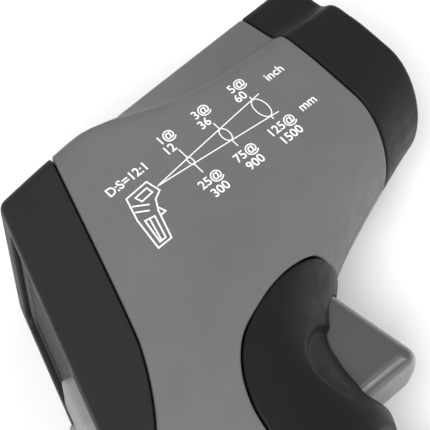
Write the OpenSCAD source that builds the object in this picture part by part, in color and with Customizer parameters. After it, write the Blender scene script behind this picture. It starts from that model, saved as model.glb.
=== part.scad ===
// Pistol-grip infrared thermometer, 12:1 optics, lying on its left side.
// X runs along the line of sight towards the nose, Y towards the top of the instrument
// and Z towards its right side, so the handle runs along -Y.
// The shape is described about the plane where the two case halves meet, and place()
// then moves it so that it rests on Z = 0 with the middle of its footprint at the origin.

/* [Head] */
// Distance from the vertical datum to the front of the nose
nose_x = 41.4; // [40:0.2:42]
// Height of the flat ridge above the datum
ridge_top = 24; // [22:0.5:26]
// Half-width of the case at the display end
head_half_w = 21; // [20:0.5:22]
// Half-width of the case where the nose cap starts
nose_half_w = 18.1; // [17:0.1:18.5]
// Lean of the display face from upright, in degrees
face_lean = 19; // [15:1:22]

/* [Handle] */
// Lean of the handle from upright, in degrees
handle_lean = 12.5; // [10:0.5:15]
// Length of the handle below the trigger
handle_len = 88; // [84:1:92]
// Half-depth of the handle, front to back, at its foot
handle_half_d = 21.5; // [21:0.5:23]
// Half-width of the handle at its waist
handle_half_w = 16.6; // [16.2:0.1:18]

/* [Case] */
// Wall thickness of the mouldings
wall = 2.2; // [2:0.1:2.6]
// Open gap between neighbouring mouldings
seam = 0.35; // [0.3:0.05:0.5]

/* [Controls] */
// Half-width of the trigger
trigger_half_w = 7; // [6:0.5:7.5]
// Travel of each key
key_travel = 0.8; // [0.5:0.1:1]

/* [Battery] */
// Length, width and thickness of the 9 V block
battery_l = 46.4; // [46:0.1:48]
battery_w = 26.2; // [25:0.1:26.5]
battery_t = 17.2; // [16.5:0.1:17.5]

/* [Optics] */
// Height of the infrared axis above the datum
ir_axis_y = 2; // [0:0.5:4]
// Radius of the lens barrel
barrel_r = 11.5; // [11:0.1:12]
// Height of the laser axis above the datum
laser_axis_y = 18; // [17:0.5:18.5]

/* [Hidden] */
$fn = 48;

// Datum of the handle: the middle of its section just below the trigger.
handle_x = -31.5;
handle_y = -54;
handle_top = -35;
foot_round = 2.5;
// Datum of the display face, on its middle line and just below its upper edge.
face_x = -34.2;
face_y = 17.4;

// Where the resting frame starts.
min_x = handle_x - (handle_len - foot_round) * sin(handle_lean) - handle_half_d * cos(handle_lean);
min_y = handle_y - handle_len * cos(handle_lean) - (handle_half_d - foot_round) * sin(handle_lean);
shift_x = -(min_x + nose_x) / 2;
shift_y = -(min_y + ridge_top) / 2;

nose_seam_x = 29;
ridge_half_w = 10;
trigger_slot = trigger_half_w + 0.5;
pivot = [-2.5, -20.2];
pin_r = 1.25;
run_fit = 0.05;
hinge_u = 17.5;
hinge_t = 81;
barrel_roll = 4;
trigger_lean = 9;
mat_depth = 5.2;
battery_t0 = 26;
display_from = 6;
display_to = 27;
display_half_w = 14.5;
rear_wall = 2.6;
board_depth = 10.5;
board_w = 33;
laser_r = 3.2;
aperture_r = 2.2;
barrel_back = 8;
barrel_front = 35.4;
insert_r = 1.1;
screw_r = 1.25;
screw_head_r = 2.4;
screw_head_h = 1.6;
screw_seat = 10;
case_screw_at = [[21, -13.6], [-13, 14.5], [-34.5, -33.5], [-46, -62], [-60, -130]];

module place() translate([shift_x, shift_y, head_half_w]) children();
module handle_frame() translate([handle_x, handle_y, 0]) rotate(-handle_lean) children();
module face_frame() translate([face_x, face_y, 0]) rotate(-face_lean) children();
module along_x() rotate([0, 90, 0]) children();

// ---- outer form of the head, as rings across the line of sight ----
function half_w(x) = lookup(x, [[-21, head_half_w], [nose_seam_x, nose_half_w],
    [nose_x, nose_half_w - 0.9]]);
function ridge_y(x) = lookup(x, [[-60, 14.5], [face_x, 19.4], [-21, 20.6], [-14, 21.6], [-8, 22.9],
    [-3, 23.6], [3, ridge_top - 0.2], [10, ridge_top - 0.1], [nose_seam_x, ridge_top]]);
function crease_y(x) = lookup(x, [[-60, 14.5], [face_x, 19.4], [-21, 20.6], [-14, 21], [-8, 20.4],
    [-3, 18.5], [3, 16.5], [14, 15], [nose_x, 14.7]]);
function crease_z(x) = lookup(x, [[-14, 17], [-8, 17.6], [3, 16.6], [14, 15.5], [nose_seam_x, 13.8],
    [nose_x, 12.6]]);
function shoulder_y(x) = lookup(x, [[-60, 14.5], [face_x, 19.4], [-21, 20.6], [-14, 21], [-8, 19.4],
    [-3, 17.6], [3, 15.6], [14, 13.8], [nose_seam_x, 13], [nose_x, 12.5]]);
function shoulder_z(x) = lookup(x, [[-14, 19.2], [-8, 19], [3, 17.8], [14, 17], [nose_seam_x, 15.9],
    [nose_x, 14.6]]);
function side_top_y(x) = lookup(x, [[-60, 12.7], [face_x, 17.6], [-21, 18.8], [-14, 19], [-8, 17.2],
    [-3, 15], [3, 12.6], [14, 10.6], [nose_seam_x, 9.5], [nose_x, 8.6]]);
function side_low_y(x) = lookup(x, [[-60, -30], [-21, -26], [0, -17], [nose_seam_x, -6.5],
    [nose_x, -2.5]]);
function side_crown(x) = lookup(x, [[-21, 0], [nose_seam_x, 0.7]]);
function under_y(x) = lookup(x, [[-60, -44], [-53, -46.5], [-48, -53], [-42, -59], [-30, -61], [-18, -50],
    [-10, -37], [3, -27.2], [8, -24.2], [14, -21.4], [21.5, -18.6], [nose_seam_x, -16.1],
    [nose_x, -12.5]]);
function power(v, p) = sign(v) * pow(abs(v), p);

function head_half_ring(x, i) =
    let (yr = ridge_y(x) - i, ys = shoulder_y(x) - i, zs = shoulder_z(x) - i, w = half_w(x) - i,
         yt = side_top_y(x), yl = side_low_y(x), yb = under_y(x) + i, c = side_crown(x))
    concat(
        [[yr, 0], [yr, ridge_half_w - i / 2], [yr - 0.06 * (yr - ys), ridge_half_w + 0.5 - i / 2],
         [crease_y(x) - i, crease_z(x) - 0.7 * i]],
        [for (a = [0:30:90]) [yt + (ys - yt) * cos(a), zs + (w - c - zs) * sin(a)]],
        [[(yt + yl) / 2, w]],
        [for (a = [0:15:90]) [yl + (yb - yl) * sin(a), w * cos(a)]]
    );
function mirrored(half) = concat(half, [for (k = [len(half) - 2:-1:1]) [half[k][0], -half[k][1]]]);
function head_ring(x, i, shrink = 0) =
    [for (p = mirrored(head_half_ring(x, i + shrink))) [x, p[0], p[1]]];

// ---- outer form of the handle, as rings across its own axis ----
function front_d(t) = lookup(t, [[handle_top, 29.5], [-32, 27.4], [-30, 26], [-27.5, 24.7], [-25, 23.8],
    [-22, 23.3], [-13, 23.3], [-10.5, 24.1], [-8.5, 24.7], [-5, 24], [0, 23.6], [12, 23],
    [40, 22], [handle_len, handle_half_d]]);
function back_d(t) = lookup(t, [[handle_top, 20], [0, 23], [40, 22], [handle_len, handle_half_d]]);
function grip_w(t) = lookup(t, [[handle_top, 18], [-20, 19], [-8, 18.6], [0, 17.6],
    [40, handle_half_w], [handle_len, handle_half_w + 0.8]]);
function handle_ring(t, i) =
    [for (a = [0:11.25:359])
        let (d = cos(a) > 0 ? front_d(t) : back_d(t))
        [(d - i) * power(cos(a), 0.87), -t, (grip_w(t) - i) * power(sin(a), 0.87)]];

// A closed skin over rings that all have the same number of points.
function middle(ring) = [for (axis = [0:2]) [for (p = ring) p[axis]] * [for (p = ring) 1] / len(ring)];
module loft(rings) {
    n = len(rings[0]);
    m = len(rings);
    sides = [for (r = [0:m - 2]) for (k = [0:n - 1]) for (half = [0, 1])
        let (a = r * n + k, b = r * n + (k + 1) % n)
        half == 0 ? [a, b + n, b] : [a, a + n, b + n]];
    first_cap = [for (k = [0:n - 1]) [k, (k + 1) % n, n * m]];
    last_cap = [for (k = [0:n - 1]) [(m - 1) * n + (k + 1) % n, (m - 1) * n + k, n * m + 1]];
    polyhedron(
        points = concat([for (ring = rings) for (p = ring) p], [middle(rings[0]), middle(rings[m - 1])]),
        faces = concat(sides, first_cap, last_cap),
        convexity = 6
    );
}

head_x = [-60, -53, -48, -42, face_x, -27, -21, -14, -8, -3, 3, 8, 14, 21.5, nose_seam_x];
grip_t = [handle_top, -32, -30, -27.5, -25, -22, -13, -10.5, -8.5, -5, 0, 12, 40];

module head_form(i = 0, front = nose_x) {
    loft(concat(
        [for (x = head_x) head_ring(x, i)],
        [head_ring(front - 1.2, i), head_ring(front, i, 1.2)]
    ));
}

module grip_form(i = 0) {
    bottom = handle_len - i;
    handle_frame() loft(concat(
        [for (t = grip_t) handle_ring(t, i)],
        [handle_ring(bottom - foot_round, i), handle_ring(bottom - foot_round / 3, i + foot_round / 3),
         handle_ring(bottom, i + foot_round)]
    ));
}

// Everything in front of a plane parallel to the display face.
module behind_face(depth) {
    face_frame() translate([depth, -200, -60]) cube([240, 300, 120]);
}

module side_region(points, z0 = -60, z1 = 60) {
    translate([0, 0, z0]) linear_extrude(z1 - z0) polygon(points);
}

// A smooth curve through a list of points, with some steps between each pair.
function curve_at(p, k, f) =
    let (n = len(p) - 1,
         a = p[max(k - 1, 0)], b = p[k], c = p[k + 1], d = p[min(k + 2, n)])
    0.5 * (2 * b + (c - a) * f + (2 * a - 5 * b + 4 * c - d) * f * f + (3 * b - a - 3 * c + d) * f * f * f);
function curve(p, steps = 3) =
    [for (k = [0:len(p) - 2]) for (j = [0:steps - (k < len(p) - 2 ? 1 : 0)]) curve_at(p, k, j / steps)];

// The joint between bezel and shells, seen from the side.
bezel_joint = curve([[-19.2, 24.9], [-21, 20], [-30.9, -9.8], [-35.1, -20.3], [-41.5, -30.2],
    [-49, -37.8], [-57, -42.8], [-66, -46]]);
function moved(points, dx) = [for (p = points) [p[0] + dx, p[1]]];
// The battery door's edge, seen from the side: round the finger notch and down the handle.
door_edge = curve([[4.6, -25.2], [1.5, -24.1], [-6, -24.1], [-13.1, -25.6], [-19.6, -28.5],
    [-24, -32.9], [-26.8, -38.4], [-28, -44]]);
door_foot_u = 1.6;

function grip_point(u, t) = [
    handle_x + u * cos(handle_lean) - t * sin(handle_lean),
    handle_y - u * sin(handle_lean) - t * cos(handle_lean)
];
function door_outline(grow) = concat(
    [[40, -35.1 + grow]],
    [for (p = door_edge) [p[0] - grow * 0.8, p[1] + grow * 0.6]],
    [grip_point(door_foot_u - grow, 10), grip_point(door_foot_u - grow, hinge_t + grow)],
    [grip_point(40, hinge_t + grow), [40, -60]]
);

module door_roll(r, half_len) {
    handle_frame() translate([hinge_u, -hinge_t, -half_len]) cylinder(r = r, h = 2 * half_len);
}

// ---- the two halves of the case ----
module half_space(side, from = 0.02) {
    translate([-100, -200, side > 0 ? from : -60]) cube([200, 300, 60 - from]);
}

module screw_tower(p, side) {
    translate([p[0], p[1], side > 0 ? 0.02 : -20]) cylinder(r = 3.2, h = 19.98);
}

module battery_ribs(side) {
    foot_stop = battery_t0 + battery_l + 0.4;
    handle_frame() {
        translate([-20, -foot_stop - 2, side > 0 ? 0.02 : -17]) cube([34, 2, 16.98]);
        translate([-20, -battery_t0 + 5, side > 0 ? 6.5 : -17]) cube([22, 2, 10.5]);
    }
}

module case_inside(side) {
    difference() {
        half_space(side);
        head_form(wall, nose_x + 2);
        grip_form(wall);
    }
    for (p = case_screw_at) {
        screw_tower(p, side);
    }
    battery_ribs(side);
    // Bearing for the trigger pin.
    translate([pivot[0], pivot[1], side > 0 ? 8.2 : -20]) cylinder(r = 3, h = 11.8);
    // Ear for the door pin.
    intersection() {
        door_roll(barrel_roll, 11.5);
        half_space(side, 7.3);
    }
}

module case_half(side) {
    difference() {
        intersection() {
            union() {
                head_form(0, nose_x);
                grip_form(0);
            }
            behind_face(0);
            side_region(concat(moved(bezel_joint, seam), [[-90, -60], [-90, -180],
                [nose_seam_x - seam, -180], [nose_seam_x - seam, 30], [-19, 30]]));
            case_inside(side);
        }
        // Opening behind the battery door.
        difference() {
            side_region(door_outline(seam));
            door_roll(barrel_roll, 12);
        }
        door_roll(barrel_roll + seam, 7.3);
        door_roll(pin_r, 9.6);
        // Slot for the trigger.
        translate([-14, -34, -trigger_slot]) cube([17.2, 18, 2 * trigger_slot]);
        translate([pivot[0], pivot[1], -10.4]) cylinder(r = pin_r, h = 20.8);
        for (p = case_screw_at) {
            translate([p[0], p[1], -screw_seat]) cylinder(r = screw_r, h = screw_seat + 0.1);
            translate([p[0], p[1], -0.02]) cylinder(r = insert_r, h = 10.1);
            translate([p[0], p[1], -30]) cylinder(r = screw_head_r + 0.25, h = 30 - screw_seat);
        }
    }
}

module right_shell() color("dimgray") place() case_half(1);
module left_shell() color("gray") place() case_half(-1);

// ---- nose cap ----
module nose_cap() {
    color([0.16, 0.16, 0.17]) place() difference() {
        intersection() {
            head_form(0, nose_x);
            translate([nose_seam_x, -100, -60]) cube([60, 200, 120]);
        }
        difference() {
            head_form(wall, nose_x - 2.6);
            translate([26, ir_axis_y, 0]) along_x() cylinder(r = barrel_r + 1.8, h = 14);
            translate([26, laser_axis_y, 0]) along_x() cylinder(r = laser_r + 1.2, h = 14);
        }
        // Seat of the lens barrel, and the flared mouth in front of the lens.
        translate([20, ir_axis_y, 0]) along_x() cylinder(r = barrel_r + 0.03, h = barrel_front - 19.9);
        translate([barrel_front, ir_axis_y, 0]) along_x()
            cylinder(r1 = barrel_r - 1, r2 = barrel_r + 0.8, h = nose_x - barrel_front + 0.1);
        translate([20, laser_axis_y, 0]) along_x() cylinder(r = laser_r, h = 16);
        translate([35, laser_axis_y, 0]) along_x() cylinder(r = aperture_r, h = 7);
    }
}

// ---- display end ----
module key_outline(u0, u1, z0, z1, grow = 0) {
    r = 1.6;
    x0 = u0 - grow;
    x1 = u1 + grow;
    translate([-x1 + r, z0 - grow + r]) circle(r);
    translate([-x0 - r, z0 - grow + r]) circle(r);
    translate([-x1 + r, z1 + grow - r]) circle(r);
    translate([-x0 - r, z1 + grow - r]) circle(r);
    translate([-x1, z0 - grow + r]) square([x1 - x0, z1 - z0 + 2 * grow - 2 * r]);
    translate([-x1 + r, z0 - grow]) square([x1 - x0 - 2 * r, z1 - z0 + 2 * grow]);
}

// Keys on the display face: distance down the face from and to, and width from and to.
keys = [[31, 42, -15.5, -4.5], [31, 42, 4.5, 15.5], [45.5, 54.5, -8, 8]];

// A prism through a key's outline, from one depth below the display face to another.
module key_prism(k, depth0, depth1, grow = 0) {
    key = keys[k];
    face_frame() translate([depth1, 0, 0]) rotate([0, -90, 0]) rotate([0, 0, 90])
        linear_extrude(depth1 - depth0) key_outline(key[0], key[1], key[2], key[3], grow);
}

module rear_bezel() {
    color([0.2, 0.2, 0.21]) place() difference() {
        intersection() {
            head_form(0, nose_x);
            behind_face(0);
            side_region(concat(bezel_joint, [[-90, -60], [-90, 40], [-19, 40]]));
        }
        difference() {
            head_form(wall, nose_x + 2);
            face_frame() translate([-10, -200, -60]) cube([10 + rear_wall + 1, 300, 120]);
        }
        // Shallow panel around the display and the keys.
        face_frame() translate([-1, -57.5, -17.2]) cube([2, 55, 34.4]);
        // Opening for the display.
        face_frame() translate([-1, -display_to, -display_half_w]) cube([12, display_to - display_from,
            2 * display_half_w]);
        for (k = [0:2]) {
            key_prism(k, -2, 12, 0.2);
        }
    }
}

module display_window() {
    color([0.25, 0.28, 0.28, 0.6]) place() face_frame()
        translate([1.2, -display_to + 0.1, -display_half_w + 0.1])
            cube([1.6, display_to - display_from - 0.2, 2 * display_half_w - 0.2]);
}

module lcd_panel() {
    color([0.55, 0.62, 0.55]) place() face_frame()
        translate([3.9, -display_to - 0.5, -display_half_w - 0.6])
            cube([2.2, display_to - display_from + 1, 2 * display_half_w + 1.2]);
}

module backlight() {
    color([0.92, 0.93, 0.9]) place() face_frame()
        translate([6.1, -display_to - 0.5, -display_half_w - 0.6])
            cube([2.4, display_to - display_from + 1, 2 * display_half_w + 1.2]);
}

board_screw_at = [[4, -14], [4, 14], [57, -11], [57, 11]];

module main_board() {
    color([0.1, 0.35, 0.2]) place() face_frame() difference() {
        union() {
            translate([board_depth, -59, -board_w / 2]) cube([1.6, 58, board_w]);
            // Processor and display driver on the inner side.
            translate([board_depth + 1.6, -40, -6]) cube([1.4, 12, 12]);
            translate([board_depth + 1.6, -22, -9]) cube([1.2, 7, 10]);
        }
        for (p = board_screw_at) {
            translate([board_depth - 1, -p[0], p[1]]) along_x() cylinder(r = 1.1, h = 4);
        }
    }
}

module board_screws() {
    color("silver") place() face_frame() for (p = board_screw_at) {
        translate([board_depth + 1.6, -p[0], p[1]]) along_x() cylinder(r = 1.9, h = 1.5);
        translate([board_depth - 3.9, -p[0], p[1]]) along_x() cylinder(r = 1, h = 5.6);
    }
}

module key_cap(k) {
    key_prism(k, -1.9, mat_depth - 0.2 - key_travel);
}

module left_key() color([0.55, 0.56, 0.57]) place() key_cap(0);
module right_key() color([0.55, 0.56, 0.57]) place() key_cap(1);
module set_key() color([0.55, 0.56, 0.57]) place() key_cap(2);

module key_mat() {
    color([0.3, 0.3, 0.32]) place() difference() {
        face_frame() translate([mat_depth, -57, -16.4]) cube([1, 27.5, 32.8]);
        for (p = board_screw_at) {
            face_frame() translate([5, -p[0], p[1]]) along_x() cylinder(r = 2.4, h = 3);
        }
    }
}

module key_switches() {
    color([0.7, 0.7, 0.68]) place() face_frame() for (key = keys) {
        translate([board_depth - 3.6, -(key[0] + key[1]) / 2 - 3, (key[2] + key[3]) / 2 - 3])
            cube([3.6, 6, 6]);
    }
}

// ---- trigger ----
// Profile of the trigger from the side, its section from below and its foot from the front.
module trigger_side() {
    polygon([[3.6, -26.4], [6.4, -43.6], [6.2, -45], [5.2, -46.3], [3.4, -46.9], [-9.5, -46.5],
        [-11, -45.2], [-12, -27], [-5.3, -19.2], [0.4, -19.2]]);
}
trigger_section = [[-30, trigger_half_w], [-1.7, trigger_half_w], [-0.7, trigger_half_w - 0.5],
    [0, trigger_half_w - 1.5], [0.8, trigger_half_w - 3.6], [1.3, 0]];
trigger_foot = [[0, trigger_half_w], [-44.4, trigger_half_w], [-45.8, trigger_half_w - 0.5],
    [-46.6, trigger_half_w - 1.5], [-46.9, trigger_half_w - 3], [-46.9, 0]];
function both_sides(p) = concat(p, [for (k = [len(p) - 1:-1:0]) [p[k][0], -p[k][1]]]);

module trigger() {
    color([0.5, 0.5, 0.51]) place() difference() {
        union() {
            intersection() {
                translate([0, 0, -10]) linear_extrude(20) trigger_side();
                translate([1.4, -27.1, 0]) rotate(trigger_lean) rotate([90, 0, 0])
                    translate([0, 0, -12]) linear_extrude(40) polygon(both_sides(trigger_section));
                translate([-20, 0, 0]) rotate([90, 0, 90]) linear_extrude(40)
                    polygon(both_sides(trigger_foot));
            }
            translate([pivot[0], pivot[1], -trigger_half_w]) cylinder(r = 3, h = 2 * trigger_half_w);
        }
        translate([pivot[0], pivot[1], -20]) cylinder(r = pin_r + run_fit, h = 40);
        // Hollow back, and room for the spring around the pin.
        translate([-20, -44, -5]) cube([18, 7, 10]);
        translate([pivot[0], pivot[1], -5]) cylinder(r = 3.6, h = 10);
    }
}

module trigger_pin() {
    color("silver") place() translate([pivot[0], pivot[1], -10.4]) cylinder(r = pin_r, h = 20.8);
}

module trigger_spring() {
    turns = 7;
    wire = 0.35;
    color("silver") place() translate([pivot[0], pivot[1], 0]) {
        difference() {
            translate([0, 0, -turns * wire]) cylinder(r = 2.3, h = 2 * turns * wire);
            translate([0, 0, -5]) cylinder(r = 1.5, h = 10);
        }
        translate([-9, 1.6, -turns * wire]) cube([9, 2 * wire, 2 * wire]);
        translate([-5.2, 1.6, turns * wire - 2 * wire]) cube([5, 2 * wire, 2 * wire]);
    }
}

module trigger_switch() {
    color([0.1, 0.1, 0.1]) place() {
        translate([-23.6, -38.6, -4]) cube([6, 10, 8]);
        translate([-17.6, -35, -1.5]) cube([3.7, 3, 3]);
    }
}

// ---- battery door ----
module battery_door() {
    color([0.17, 0.16, 0.17]) place() difference() {
        union() {
            intersection() {
                difference() {
                    union() {
                        head_form(0, nose_x);
                        grip_form(0);
                    }
                    grip_form(wall);
                    head_form(wall, nose_x);
                }
                side_region(door_outline(0));
            }
            intersection() {
                door_roll(barrel_roll, 7);
                grip_form(0);
            }
        }
        door_roll(pin_r + run_fit, 30);
        // Clearance around the hinge ears and the trigger.
        difference() {
            door_roll(barrel_roll + seam, 20);
            door_roll(barrel_roll + 1, 7);
        }
        side_region([[20, -20], [20, -47.6], [-24, -47.6], [-24, -20]], -trigger_slot, trigger_slot);
    }
}

module door_pin() color("silver") place() door_roll(pin_r, 9.6);

// ---- battery and its connector ----
module battery() {
    color([0.3, 0.32, 0.36]) place() handle_frame() {
        translate([-13.5, -battery_t0 - battery_l, -battery_t / 2])
            cube([battery_w, battery_l, battery_t]);
        for (u = [-6.4, 6.4]) {
            translate([u - 0.4, -battery_t0, 0]) rotate([-90, 0, 0]) cylinder(r = 2.9, h = 2.1);
        }
    }
}

module battery_snap() {
    color([0.1, 0.1, 0.1]) place() handle_frame() difference() {
        translate([-12.5, -battery_t0 + 0.1, -6]) cube([24, 4.6, 12]);
        for (u = [-6.4, 6.4]) {
            translate([u - 0.4, -battery_t0, 0]) rotate([-90, 0, 0]) cylinder(r = 3.05, h = 2.4);
        }
    }
}

// A wire through a list of points, with one ring of its skin at each.
function unit(v) = v / norm(v);
function wire_ring(points, k, r) =
    let (last = len(points) - 1,
         dir = unit(points[min(k + 1, last)] - points[max(k - 1, 0)]),
         across = unit(cross(dir, [0, 0, 1])),
         up = cross(across, dir))
    [for (a = [0:45:315]) points[k] + r * (cos(a) * across + sin(a) * up)];
module wire(points, r) loft([for (k = [0:len(points) - 1]) wire_ring(points, k, r)]);

// From the top of the snap to the inner face of the board.
function face_point(depth, down) = [
    face_x + depth * cos(face_lean) - down * sin(face_lean),
    face_y - depth * sin(face_lean) - down * cos(face_lean)
];
lead_path = [grip_point(-3, 21.28), grip_point(-3, 19.4), [-39.2, -68], [-40.5, -63], [-40, -57],
    [-37.5, -51], [-36.5, -46], [-37.2, -42], face_point(14, 55.8), face_point(12.12, 55.8)];

module battery_leads() {
    color("firebrick") place() for (side = [-1, 1]) {
        wire([for (p = lead_path) [p[0], p[1], 4 * side]], 0.6);
    }
}

// ---- optics ----
module lens_barrel() {
    color([0.12, 0.12, 0.12]) place() translate([barrel_back, ir_axis_y, 0]) along_x() difference() {
        cylinder(r = barrel_r, h = barrel_front - barrel_back);
        translate([0, 0, 2]) cylinder(r1 = 5, r2 = barrel_r - 1.6, h = 21);
        translate([0, 0, 22.9]) cylinder(r = barrel_r - 1.2, h = 5);
        translate([0, 0, -1]) cylinder(r = 4.7, h = 4);
    }
}

module ir_lens() {
    lens_r = barrel_r - 1.3;
    bulge = 1.1;
    dome = [for (a = [0:15:90]) [lens_r * cos(a), 1.2 + bulge * sin(a)]];
    color([0.85, 0.86, 0.84]) place() translate([30.9, ir_axis_y, 0]) along_x()
        rotate_extrude() polygon(concat([[0, 0], [lens_r, 0]], dome));
}

module lens_ring() {
    color([0.1, 0.1, 0.1]) place() translate([barrel_front - 2, ir_axis_y, 0]) along_x() difference() {
        cylinder(r = barrel_r - 1.2, h = 2);
        translate([0, 0, -1]) cylinder(r = barrel_r - 3, h = 4);
    }
}

module thermopile() {
    color("silver") place() translate([5, ir_axis_y, 0]) along_x() {
        cylinder(r = 4.6, h = 0.6);
        cylinder(r = 4.1, h = 4.4);
        for (a = [45:90:315]) {
            rotate(a) translate([2.5, 0, -3.4]) cylinder(r = 0.25, h = 3.6, $fn = 16);
        }
    }
}

module sensor_board() {
    color([0.1, 0.35, 0.2]) place() difference() {
        translate([3.2, ir_axis_y - 11, -12]) cube([1.6, 22, 24]);
        for (a = [45:90:315]) {
            translate([0, ir_axis_y, 0]) along_x() rotate(a) translate([2.5, 0, 0])
                cylinder(r = 0.35, h = 8, $fn = 16);
        }
    }
}

module sensor_ribbon() {
    color("ivory") place() side_region([[3.1, -4.8], [-2, -4.8], [-8, -9], [-18, -9], [-24.3, -12.6],
        [-24.1, -13], [-17.9, -9.4], [-7.9, -9.4], [-1.9, -5.2], [3.1, -5.2]], -6, 6);
}

module laser_module() {
    color("goldenrod") place() translate([21, laser_axis_y, 0]) along_x() {
        cylinder(r = laser_r - 0.02, h = 12);
        translate([0, 0, -1.2]) cylinder(r = laser_r - 0.6, h = 1.2);
    }
}

module laser_window() {
    color([0.5, 0.1, 0.1, 0.6]) place() translate([nose_x - 3, laser_axis_y, 0]) along_x()
        cylinder(r = aperture_r, h = 1);
}

module buzzer() {
    color([0.08, 0.08, 0.08]) place() translate([-12, 2, 4]) difference() {
        cylinder(r = 6, h = 8);
        translate([0, 0, 7]) cylinder(r = 1, h = 2);
    }
}

module case_screws() {
    color("silver") place() for (p = case_screw_at) {
        translate([p[0], p[1], -screw_seat]) cylinder(r = screw_r - 0.02, h = screw_seat - 0.1);
        translate([p[0], p[1], -0.1]) cylinder(r = insert_r - 0.02, h = 9);
        translate([p[0], p[1], -screw_seat - screw_head_h]) difference() {
            cylinder(r = screw_head_r, h = screw_head_h);
            translate([0, 0, -1]) cylinder(r = 1.3, h = 1.8, $fn = 6);
        }
    }
}

right_shell();
left_shell();
nose_cap();
rear_bezel();
display_window();
lcd_panel();
backlight();
main_board();
left_key();
right_key();
set_key();
key_mat();
key_switches();
trigger();
trigger_pin();
trigger_spring();
trigger_switch();
battery_door();
door_pin();
battery();
battery_snap();
battery_leads();
lens_barrel();
ir_lens();
lens_ring();
thermopile();
sensor_board();
sensor_ribbon();
laser_module();
laser_window();
buzzer();
case_screws();
board_screws();
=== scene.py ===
"""Infrared thermometer: its looks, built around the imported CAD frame.

Lengths inside this script are millimetres measured from the instrument's own datum, on the plane
where its two halves meet: x towards the nose, y towards its top and z towards its right side.
make_mesh() turns them into metres in the row frame.
"""

import math

import bpy
import numpy as np
from mathutils import Matrix, Vector


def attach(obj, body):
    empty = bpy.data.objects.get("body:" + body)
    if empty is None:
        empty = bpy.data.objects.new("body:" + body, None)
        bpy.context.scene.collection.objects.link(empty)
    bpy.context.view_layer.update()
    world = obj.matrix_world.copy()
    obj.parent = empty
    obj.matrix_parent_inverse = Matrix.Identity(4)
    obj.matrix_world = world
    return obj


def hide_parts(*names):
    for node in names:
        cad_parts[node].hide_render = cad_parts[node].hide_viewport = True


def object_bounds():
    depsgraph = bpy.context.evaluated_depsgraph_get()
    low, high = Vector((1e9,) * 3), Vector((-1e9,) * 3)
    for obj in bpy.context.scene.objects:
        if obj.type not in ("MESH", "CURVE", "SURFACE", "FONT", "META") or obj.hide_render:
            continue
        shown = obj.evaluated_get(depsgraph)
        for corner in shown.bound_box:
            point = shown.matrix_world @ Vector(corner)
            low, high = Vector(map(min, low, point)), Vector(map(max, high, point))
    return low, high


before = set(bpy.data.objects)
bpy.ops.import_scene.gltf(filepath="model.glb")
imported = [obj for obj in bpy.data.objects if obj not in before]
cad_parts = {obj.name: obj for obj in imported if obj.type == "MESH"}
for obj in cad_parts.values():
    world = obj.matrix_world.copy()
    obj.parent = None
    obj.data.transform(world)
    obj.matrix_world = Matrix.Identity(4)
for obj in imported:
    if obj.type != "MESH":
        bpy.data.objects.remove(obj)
cad_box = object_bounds()

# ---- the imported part's box says where the instrument's own datum lies ----
NOSE_X = 41.4
RIDGE_TOP = 24.0
HEAD_HALF_W = 21.0
DATUM = np.array([
    cad_box[1][0] - NOSE_X / 1000,
    cad_box[1][1] - RIDGE_TOP / 1000,
    cad_box[0][2] + HEAD_HALF_W / 1000,
])

# ---- sizes of the CAD model ----
NOSE_SEAM_X = 29.0
FACE_LEAN = math.radians(19)
FACE_X = -34.2
FACE_Y = 17.4
HANDLE_LEAN = math.radians(12.5)
HANDLE_X = -31.5
HANDLE_Y = -54.0
HANDLE_TOP = -35.0
HANDLE_LEN = 88.0
HANDLE_HALF_D = 21.5
HANDLE_HALF_W = 16.6
WALL = 2.2
GAP = 0.35
PIVOT = (-2.5, -20.2)
TRIGGER_HALF_W = 7.0
SLOT_HALF_W = 7.5
HINGE_U = 17.5
HINGE_T = 81.0
ROLL_R = 4.0
ROLL_HALF_LEN = 7.0
IR_AXIS_Y = 2.0
BARREL_R = 11.5
LASER_AXIS_Y = 18.0
LASER_R = 2.2
SCREW_AT = ((21, -13.6), (-13, 14.5), (-34.5, -33.5), (-46, -62), (-60, -130))
SCREW_HOLE_R = 2.65
DISPLAY_FROM = 6.0
DISPLAY_TO = 27.0
DISPLAY_HALF_W = 14.5
PANEL_FROM = 2.5
PANEL_TO = 57.5
PANEL_HALF_W = 17.2
PANEL_DEPTH = 1.0
# Each key's place on the display face: from and to down the face, and its left and right edge.
KEYS = {
    "left_key": (31, 42, -15.5, -4.5),
    "right_key": (31, 42, 4.5, 15.5),
    "set_key": (45.5, 54.5, -8, 8),
}


# ---- small field helpers ----
def round_max(a, b, radius):
    """Intersection of two fields with a rounded edge."""
    corner = np.hypot(np.maximum(a + radius, 0), np.maximum(b + radius, 0))
    return np.minimum(-radius, np.maximum(a, b)) + corner


def round_min(a, b, radius):
    """Union of two fields with a filleted corner."""
    return -round_max(-a, -b, radius)


def smooth_table(pairs, step=0.25):
    """A smooth curve through (position, value) pairs, as a dense table for np.interp."""
    at = np.array([p[0] for p in pairs], float)
    value = np.array([p[1] for p in pairs], float)
    slope = np.diff(value) / np.diff(at)
    same = slope[1:] * slope[:-1] > 0
    mean = 2 * slope[1:] * slope[:-1] / np.where(same, slope[1:] + slope[:-1], 1)
    tangent = np.concatenate([slope[:1], np.where(same, mean, 0), slope[-1:]])
    fine = np.arange(at[0], at[-1] + step, step)
    k = np.clip(np.searchsorted(at, fine, side="right") - 1, 0, len(at) - 2)
    width = at[k + 1] - at[k]
    f = np.clip((fine - at[k]) / width, 0, 1)
    table = ((2 * f ** 3 - 3 * f ** 2 + 1) * value[k] + (f ** 3 - 2 * f ** 2 + f) * width * tangent[k]
             + (3 * f ** 2 - 2 * f ** 3) * value[k + 1] + (f ** 3 - f ** 2) * width * tangent[k + 1])
    return fine, table


def read(table, at):
    """Value of a smooth_table at a position."""
    return np.interp(at, *table)


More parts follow.
